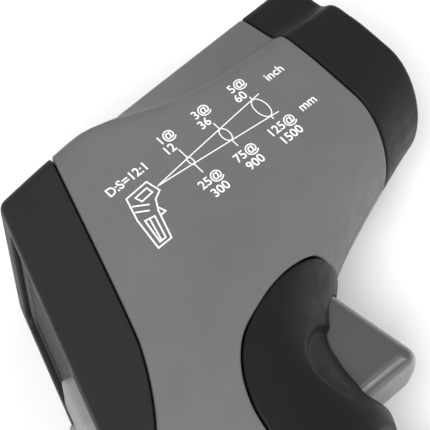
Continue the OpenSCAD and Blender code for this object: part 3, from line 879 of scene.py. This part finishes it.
def inner_elements(side):
    """Fields and mesh boxes of everything moulded inside one case half."""
    def box(x, y, reach, inner_z, outer_z):
        z = sorted((side * inner_z, side * outer_z))
        return (x - reach, y - reach, z[0] - 0.8), (x + reach, y + reach, z[1] + 0.8)

    found = [(tower_form(a, b, side), *box(a, b, 4, 0, 20.6)) for a, b in SCREW_AT]
    found.append((bearing_form(side), *box(*PIVOT, 4, 8, 20.6)))
    found.append((ear_form(side), *box(*HINGE_AT, 5, 7, 11.8)))
    found.append((rib_form(side, BATTERY_STOP, BATTERY_STOP + RIB_T, 14, HALF_SEAM),
                  *box(*handle_point(-3, BATTERY_STOP + 1), 20, 0, 19)))
    found.append((rib_form(side, SNAP_RIB, SNAP_RIB + RIB_T, 2, 6.5),
                  *box(*handle_point(-9, SNAP_RIB + 1), 14, 6, 19)))
    return found


BOX_SPARE = 1


def face_bounds(down0, down1, z0, z1, depth0, depth1):
    """Box around a stretch of the display face."""
    at = np.array([face_point(d, v) for d in (depth0, depth1) for v in (down0, down1)])
    low, high = at.min(0) - BOX_SPARE, at.max(0) + BOX_SPARE
    return (low[0], low[1], z0 - BOX_SPARE), (high[0], high[1], z1 + BOX_SPARE)


# ---- materials ----
def linear(colour):
    """A grey or an sRGB colour, from 0 to 255, as linear colour."""
    rgb = colour if isinstance(colour, tuple) else (colour,) * 3
    return tuple(v / 12.92 / 255 if v <= 10 else ((v / 255 + 0.055) / 1.055) ** 2.4 for v in rgb)


def new_material(name):
    """A material, its node tree and its shader."""
    material = bpy.data.materials.new(name)
    material.use_nodes = True
    tree = material.node_tree
    return material, tree, tree.nodes["Principled BSDF"]


def add_node(tree, kind, inputs=None, **settings):
    """A shader node of a kind, with its inputs' values and its own settings."""
    node = tree.nodes.new("ShaderNode" + kind)
    for key, value in settings.items():
        setattr(node, key, value)
    for key, value in (inputs or {}).items():
        node.inputs[key].default_value = value
    return node


def noise(tree, scale, detail=4.0, rough=0.6, stretch=(1, 1, 1)):
    """Noise in object space, with its scale in features per metre."""
    place = add_node(tree, "TexCoord")
    fit = add_node(tree, "Mapping", {"Scale": stretch})
    node = add_node(tree, "TexNoise", {"Scale": scale, "Detail": detail, "Roughness": rough})
    tree.links.new(place.outputs["Object"], fit.inputs["Vector"])
    tree.links.new(fit.outputs["Vector"], node.inputs["Vector"])
    return node


def ramp(tree, source, low, high, start=0.35, end=0.65):
    """Maps a 0 to 1 value onto a range of values or colours."""
    node = add_node(tree, "ValToRGB")
    node.color_ramp.elements[0].position = start
    node.color_ramp.elements[1].position = end
    for element, value in zip(node.color_ramp.elements, (low, high)):
        element.color = (*value, 1) if isinstance(value, tuple) else (value, value, value, 1)
    tree.links.new(source, node.inputs["Fac"])
    return node


def vary(tree, shader, socket, pattern, low, high):
    """Lets a noise move one of the shader's inputs between two values."""
    tone = ramp(tree, pattern.outputs["Fac"], low, high)
    tree.links.new(tone.outputs["Color"], shader.inputs[socket])


# The sharpness of an edge at which the painted edge highlight starts, and at which it is full.
PAINTED_HIGHLIGHT_FROM_TO = (0.56, 0.68)


def plastic(name, colour, roughness=0.5, grain=0.12, grain_size=0.00022, tint=0.05, specular=0.5):
    """Moulded plastic: fine spark-eroded grain, faint flow marks, and a painted highlight that paints
    sharp edges paler.
    """
    material, tree, shader = new_material(name)
    base = linear(colour)
    darker = tuple(c * (1 - tint) for c in base)
    paler = tuple(c * (1 + tint) for c in base)
    flow = ramp(tree, noise(tree, 60, 3).outputs["Fac"], darker, paler)
    # Painted highlight: sharp convex edges are painted paler, up to half as pale again, in place of
    # light on them.
    edge_pointiness = add_node(tree, "NewGeometry")
    edge = ramp(tree, edge_pointiness.outputs["Pointiness"], 0.0, 1.0, *PAINTED_HIGHLIGHT_FROM_TO)
    mix = add_node(tree, "Mix", data_type="RGBA")
    mix.inputs["B"].default_value = (*[min(1, c * 1.5 + 0.01) for c in base], 1)
    tree.links.new(edge.outputs["Color"], mix.inputs["Factor"])
    tree.links.new(flow.outputs["Color"], mix.inputs["A"])
    tree.links.new(mix.outputs["Result"], shader.inputs["Base Color"])
    vary(tree, shader, "Roughness", noise(tree, 350, 4), roughness - 0.06, roughness + 0.06)
    bump = add_node(tree, "Bump", {"Strength": grain, "Distance": 0.00004})
    tree.links.new(noise(tree, 1 / grain_size, 2, 0.5).outputs["Fac"], bump.inputs["Height"])
    tree.links.new(bump.outputs["Normal"], shader.inputs["Normal"])
    shader.inputs["Specular IOR Level"].default_value = specular
    return material


def metal(name, colour, roughness=0.3, brushed=(1, 1, 12)):
    """Bare metal with fine brushing."""
    material, tree, shader = new_material(name)
    shader.inputs["Metallic"].default_value = 1
    base = linear(colour)
    vary(tree, shader, "Base Color", noise(tree, 900, 4, 0.6, brushed),
         tuple(c * 0.85 for c in base), tuple(min(1, c * 1.1) for c in base))
    vary(tree, shader, "Roughness", noise(tree, 1500, 3, 0.6, brushed),
         roughness - 0.08, roughness + 0.1)
    return material


def glassy(name, colour, alpha, roughness=0.06, specular=0.5):
    """Polished or anti-glare plastic or glass, partly see-through, with faint dust."""
    material, tree, shader = new_material(name)
    base = linear(colour)
    vary(tree, shader, "Base Color", noise(tree, 400, 5),
         tuple(c * 0.92 for c in base), tuple(min(1, c * 1.06) for c in base))
    vary(tree, shader, "Roughness", noise(tree, 1200, 5), roughness * 0.9, roughness * 1.12)
    shader.inputs["Alpha"].default_value = alpha
    shader.inputs["Specular IOR Level"].default_value = specular
    return material


def circuit_board(name):
    """Green solder mask over copper tracks."""
    material, tree, shader = new_material(name)
    place = add_node(tree, "TexCoord")
    tracks = add_node(tree, "TexBrick", {"Scale": 320.0, "Mortar Size": 0.03, "Bias": -0.4})
    tree.links.new(place.outputs["Object"], tracks.inputs["Vector"])
    tracks.inputs["Color1"].default_value = (*linear((18, 84, 48)), 1)
    tracks.inputs["Color2"].default_value = (*linear((24, 98, 56)), 1)
    tracks.inputs["Mortar"].default_value = (*linear((60, 128, 70)), 1)
    tree.links.new(tracks.outputs["Color"], shader.inputs["Base Color"])
    vary(tree, shader, "Roughness", noise(tree, 500, 3), 0.3, 0.45)
    return material


SHELL = plastic("shell_plastic", 103, 0.55, specular=0.35)
SHELL_LEFT = plastic("left_shell_plastic", 101, 0.55, specular=0.35)
NOSE = plastic("nose_plastic", (31, 30, 31), 0.5, tint=0.04, specular=0.14)
BEZEL = plastic("bezel_plastic", 37, 0.52, specular=0.2)
GRIP = plastic("grip_plastic", (22, 21, 22), 0.5, grain=0.16, specular=0.2)
TRIGGER = plastic("trigger_plastic", 70, 0.2, grain=0.03, specular=0.9)
KEY = plastic("key_rubber", (141, 142, 143), 0.62, grain=0.2, specular=0.3)
INNER = plastic("inner_plastic", (24, 24, 25), 0.5, specular=0.3)
MAT = plastic("mat_rubber", (70, 70, 74), 0.7, grain=0.2, specular=0.3)
PRINT = plastic("print_ink", (246, 246, 244), 0.5, grain=0.06, tint=0.015)
DIFFUSER = plastic("diffuser", (232, 233, 228), 0.4, grain=0.03, tint=0.02)
RIBBON = plastic("ribbon_film", (214, 208, 190), 0.35, grain=0.04)
LEADS = plastic("lead_insulation", (150, 34, 28), 0.42, grain=0.06)
LENS = plastic("lens_plastic", (200, 202, 198), 0.22, grain=0.02, tint=0.02)
JACKET = plastic("battery_jacket", (78, 84, 96), 0.3, grain=0.03)
STEEL = metal("steel", (196, 197, 199), 0.28)
BRASS = metal("brass", (202, 168, 98), 0.3)
WINDOW = glassy("window_acrylic", (22, 24, 24), 0.82, 0.42, specular=0.06)
LCD = glassy("lcd_glass", (44, 50, 44), 1.0, 0.45, specular=0.15)
LASER_GLASS = glassy("laser_glass", (92, 20, 20), 0.7)
BOARD = circuit_board("board_mask")

# The CAD nodes that are shown as they are.
KEPT_NODES = {
    "display_window": WINDOW, "lcd_panel": LCD, "backlight": DIFFUSER, "main_board": BOARD,
    "key_mat": MAT, "key_switches": INNER, "trigger_pin": STEEL, "trigger_spring": STEEL,
    "trigger_switch": INNER, "door_pin": STEEL, "battery": JACKET, "battery_snap": INNER,
    "battery_leads": LEADS, "lens_barrel": INNER, "ir_lens": LENS, "lens_ring": INNER,
    "thermopile": STEEL, "sensor_board": BOARD, "sensor_ribbon": RIBBON, "laser_module": BRASS,
    "laser_window": LASER_GLASS, "buzzer": INNER, "case_screws": STEEL, "board_screws": STEEL,
}
for node_name, finish in KEPT_NODES.items():
    node_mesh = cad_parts[node_name].data
    node_mesh.materials.clear()
    node_mesh.materials.append(finish)


# ---- the pieces ----
# The boxes to mesh in, as low and high corners, and the mesh steps.
BODY_BOX = ((-82, -146, -22.4), (43, 26, 22.4))
LIP_BOX = ((-64, -48, -21), (-16, 25, 21))
NOSE_BOX = ((26, -20, -19.4), (43, 26, 19.4))
DOOR_BOX = ((-58, -146, -22.4), (12, -18, 22.4))
ROLL_BOX = ((HINGE_AT[0] - 5, HINGE_AT[1] - 5, -8), (HINGE_AT[0] + 5, HINGE_AT[1] + 5, 8))
TRIGGER_BOX = ((-14, -50, -8.5), (9, -16, 8.5))
BODY_STEP = 0.7
LIP_STEP = 0.6
INNER_STEP = 0.5
NOSE_STEP = 0.5
DOOR_STEP = 0.48
FINE_STEP = 0.4
KEY_STEP = 0.35
HALVES = (("right_shell", 1, SHELL), ("left_shell", -1, SHELL_LEFT))


def add_moulding(name, surface, form, region, step, material, slot, node, body="housing"):
    """A moulded wall that stands for a CAD node."""
    points, faces = moulding(*surface, form, region, step)
    make_mesh(name, points, faces, material, body, slot, [node])


def add_solid(name, form, box, step, material, slot, body="housing", nodes=()):
    """The whole of a form as one piece."""
    make_mesh(name, *full_mesh(form, *box, step), material, body, slot, nodes)


body_surface = full_mesh(body_form, *BODY_BOX, BODY_STEP)
for name, side, finish in HALVES:
    add_moulding(name + "_moulding", body_surface, body_form, shell_region(side), BODY_STEP, finish,
                 "shell_grey", name)

for name, side, finish in HALVES:
    elements = [full_mesh(form, low, high, INNER_STEP) for form, low, high in inner_elements(side)]
    starts = np.cumsum([0] + [len(points) for points, _ in elements])
    make_mesh(name + "_inside", np.concatenate([points for points, _ in elements]),
              np.concatenate([quads + start for (_, quads), start in zip(elements, starts)]),
              finish, "housing", "shell_grey")

add_moulding("bezel_moulding", body_surface, body_form, bezel_region, BODY_STEP, BEZEL, "trim_black",
             "rear_bezel")
add_solid("bezel_lip", lip_form, LIP_BOX, LIP_STEP, INNER, "inner_black")
add_moulding("nose_moulding", full_mesh(nose_form, *NOSE_BOX, NOSE_STEP), nose_form, nose_region,
             NOSE_STEP, NOSE, "nose_black", "nose_cap")
add_moulding("door_moulding", full_mesh(door_form, *DOOR_BOX, DOOR_STEP), door_form, door_region,
             DOOR_STEP, GRIP, "grip_black", "battery_door", "door")
add_solid("door_roll", roll_form, ROLL_BOX, FINE_STEP, GRIP, "grip_black", "door")
add_solid("trigger_blade", trigger_form, TRIGGER_BOX, FINE_STEP, TRIGGER, "trigger_grey",
          "trigger_body", ["trigger"])
add_solid("face_plate", plate_form, face_bounds(PANEL_FROM, PANEL_TO, -18, 18, 0, 4), FINE_STEP, BEZEL,
          "trim_black")
for name, key in KEYS.items():
    add_solid(name + "_cap", key_form(name), face_bounds(*key, -3, 5), KEY_STEP, KEY, "key_grey",
              name + "_body", [name])


# ---- the printed spot chart on the right side ----
PRINT_LIFT = 0.04
STROKE_PIECE = 0.8
CAP_HEIGHT = 0.72
LETTER_WEIGHT = 0.022


def on_side(x, y):
    """Height of the right side's surface over each point."""
    z = np.full(len(x), HEAD_HALF_W + 1.0)
    for _ in range(12):
        z -= body_form(x, y, z)
    return z + PRINT_LIFT


def lay_on_side(name, points, faces):
    """Prints flat points and faces on the side."""
    xy = np.array(points, float)
    z = on_side(xy[:, 0], xy[:, 1])
    return make_mesh(name, np.column_stack([xy, z]), faces, PRINT, "housing", "backlight_white")


def stroke(points, width, closed=False):
    """A printed line of one width, as points and faces."""
    corners = list(points) + ([points[0]] if closed else [])
    p = []
    for a, b in zip(corners[:-1], corners[1:]):
        pieces = max(1, int(math.dist(a, b) / STROKE_PIECE))
        p += [(a[0] + (b[0] - a[0]) * k / pieces, a[1] + (b[1] - a[1]) * k / pieces)
              for k in range(pieces)]
    p = np.array(p if closed else p + [corners[-1]], float)
    ahead = np.roll(p, -1, axis=0)
    behind = np.roll(p, 1, axis=0)
    if not closed:
        ahead[-1] = 2 * p[-1] - p[-2]
        behind[0] = 2 * p[0] - p[1]
    a, b = unit(p - behind), unit(ahead - p)
    along = unit(a + b)
    across = np.stack([-along[:, 1], along[:, 0]], 1)
    stretch = 1 / np.clip((along * a).sum(1, keepdims=True), 0.5, 1)
    half = across * width / 2 * stretch
    n = len(p)
    faces = [(k, (k + 1) % n, n + (k + 1) % n, n + k) for k in range(n if closed else n - 1)]
    return np.concatenate([p - half, p + half]).tolist(), faces


def joined(parts):
    """Several sets of points and faces as one."""
    points, faces = [], []
    for part_points, part_faces in parts:
        faces += [tuple(i + len(points) for i in f) for f in part_faces]
        points += part_points
    return points, faces


def lettering(text, centre, height):
    """Printed characters, centred on a point of the side."""
    curve_data = bpy.data.curves.new("characters", "FONT")
    curve_data.body = text
    curve_data.size = height / CAP_HEIGHT
    curve_data.align_x = "CENTER"
    curve_data.offset = LETTER_WEIGHT * height
    curve_data.resolution_u = 4
    holder = put_in_scene(bpy.data.objects.new("characters", curve_data))
    bpy.context.view_layer.update()
    shaped = holder.evaluated_get(bpy.context.evaluated_depsgraph_get())
    mesh = bpy.data.meshes.new_from_object(shaped)
    points = [(v.co.x + centre[0], v.co.y + centre[1] - height / 2) for v in mesh.vertices]
    faces = [tuple(f.vertices) for f in mesh.polygons]
    bpy.data.objects.remove(holder)
    bpy.data.meshes.remove(mesh)
    return points, faces


# The cone's middle line, point, end and half height there, and each spot's place and half sizes.
CHART_Y = 2.7
APEX = (-11.2, CHART_Y)
CONE_END = (15.7, 2.6)
SPOTS = ((-3.3, 0.45, 0.95), (5.1, 0.85, 1.5), (13.9, 1.25, 2.3))
TICK_TOP = 5.9
TICK_FOOT = -0.5
# Heights of the rows of spot and distance: inches above the cone, millimetres below it.
INCH_ROWS = (9.4, 7.05)
MM_ROWS = (-2.3, -4.9)
INNER_ROW_SHIFT = -1.2
LABELS = (("1@", "12", "25@", "300"), ("3@", "36", "75@", "900"), ("5@", "60", "125@", "1500"))
WORDS = (("D:S=12:1", (-14.15, 7.35)), ("inch", (21.0, 7.05)), ("mm", (20.8, -1.85)))
DIGIT_H = 1.8
LINE_W = 0.22

parts = [lettering(text, at, DIGIT_H) for text, at in WORDS]
for (x, half_x, half_y), labels in zip(SPOTS, LABELS):
    ring = [(x + half_x * math.cos(a), CHART_Y + half_y * math.sin(a))
            for a in np.linspace(0, 2 * math.pi, 40, endpoint=False)]
    parts.append(stroke(ring, LINE_W, closed=True))
    parts.append(stroke([(x, CHART_Y + half_y), (x, TICK_TOP)], LINE_W))
    parts.append(stroke([(x, CHART_Y - half_y), (x, TICK_FOOT)], LINE_W))
    for text, row in zip(labels, INCH_ROWS + MM_ROWS):
        shift = INNER_ROW_SHIFT if row == INCH_ROWS[1] else 0
        parts.append(lettering(text, (x + shift, row), DIGIT_H))
for way in (1, -1):
    parts.append(stroke([APEX, (CONE_END[0], CHART_Y + way * CONE_END[1])], LINE_W))
lay_on_side("printed_chart", *joined(parts))

# A plain outline of a hand-held instrument at the point of the cone: its lines, and whether closed.
ICON_LINE_W = 0.3
ICON = (
    ([(-16.9, 4.4), (-12.0, 4.65), (-11.4, 1.85), (-13.1, 1.0), (-14.3, -1.0), (-16.2, -6.5),
      (-19.2, -6.5), (-18.3, 0.0)], True),
    ([(-15.6, 3.5), (-12.8, 3.7), (-12.6, 2.4), (-15.2, 2.2)], True),
    ([(-14.0, -0.3), (-13.4, -1.9), (-14.5, -2.0)], False),
    ([(-15.5, -1.4), (-16.9, -5.8), (-18.2, -5.8), (-17.4, -1.0)], True),
    ([(-16.5, -1.2), (-17.8, -5.7)], False),
    ([(-17.2, 2.6), (-14.6, 0.9)], False),
    ([(-17.6, 1.4), (-15.4, 0.0)], False),
)
lay_on_side("printed_icon", *joined([stroke(line, ICON_LINE_W, closed) for line, closed in ICON]))


# ---- floor, light and camera ----
FLOOR_HALF = 3.0
corners = [(a * FLOOR_HALF, b * FLOOR_HALF, 0) for a, b in ((-1, -1), (1, -1), (1, 1), (-1, 1))]
floor_mesh = bpy.data.meshes.new("floor")
floor_mesh.from_pydata(corners, [], [(0, 1, 2, 3)])
floor = put_in_scene(bpy.data.objects.new("floor", floor_mesh))
floor_mesh.materials.append(plastic("floor_paper", 252, 0.85, grain=0.02, tint=0.004, specular=0.1))

# The camera looks at the datum, this far above the table and turned this far from the row frame's +Y.
ELEVATION = math.radians(61.5)
TURN = math.radians(42.9)
CAMERA_AWAY = 1.9 / 5.4
SENSOR_W = 36
FOCAL_PIXELS = 1900
IMAGE_PIXELS = 430
aim = Vector(DATUM.tolist())
right = Vector((math.cos(TURN), -math.sin(TURN), 0))
flat = Vector((math.sin(TURN), math.cos(TURN), 0))
ahead = flat * math.cos(ELEVATION) - Vector((0, 0, math.sin(ELEVATION)))
upward = flat * math.sin(ELEVATION) + Vector((0, 0, math.cos(ELEVATION)))

# Softboxes aimed at the instrument: metres to the camera's right, away from it and up, the box's
# width and height, and watts.
LIGHTS = {
    "key_light": (-0.35, -1.1, 1.8, 1.2, 1.2, 40),
    "fill_light": (1.0, -0.3, 1.6, 1.4, 1.4, 4),
    "low_light": (1.01, -0.44, 0.66, 0.2, 0.9, 1.9),
}
for name, (toward_right, toward_back, height, width, tall, power) in LIGHTS.items():
    lamp = bpy.data.lights.new(name, "AREA")
    lamp.shape = "RECTANGLE"
    lamp.size = width
    lamp.size_y = tall
    lamp.energy = power
    holder = put_in_scene(bpy.data.objects.new(name, lamp))
    holder.location = aim + right * toward_right + flat * toward_back + Vector((0, 0, height))
    holder.rotation_euler = (aim - holder.location).to_track_quat("-Z", "Y").to_euler()

world = bpy.data.worlds.new("studio")
world.use_nodes = True
backdrop = world.node_tree.nodes["Background"]
backdrop.inputs["Color"].default_value = (1, 1, 1, 1)
backdrop.inputs["Strength"].default_value = 0.5
bpy.context.scene.world = world
bpy.context.scene.view_settings.view_transform = "Standard"

camera_data = bpy.data.cameras.new("camera")
camera_data.sensor_width = SENSOR_W
camera_data.lens = SENSOR_W * FOCAL_PIXELS / IMAGE_PIXELS
camera = put_in_scene(bpy.data.objects.new("camera", camera_data))
placing = Matrix((right, upward, -ahead)).transposed().to_4x4()
placing.translation = aim - ahead * CAMERA_AWAY
camera.matrix_world = placing
bpy.context.scene.camera = camera
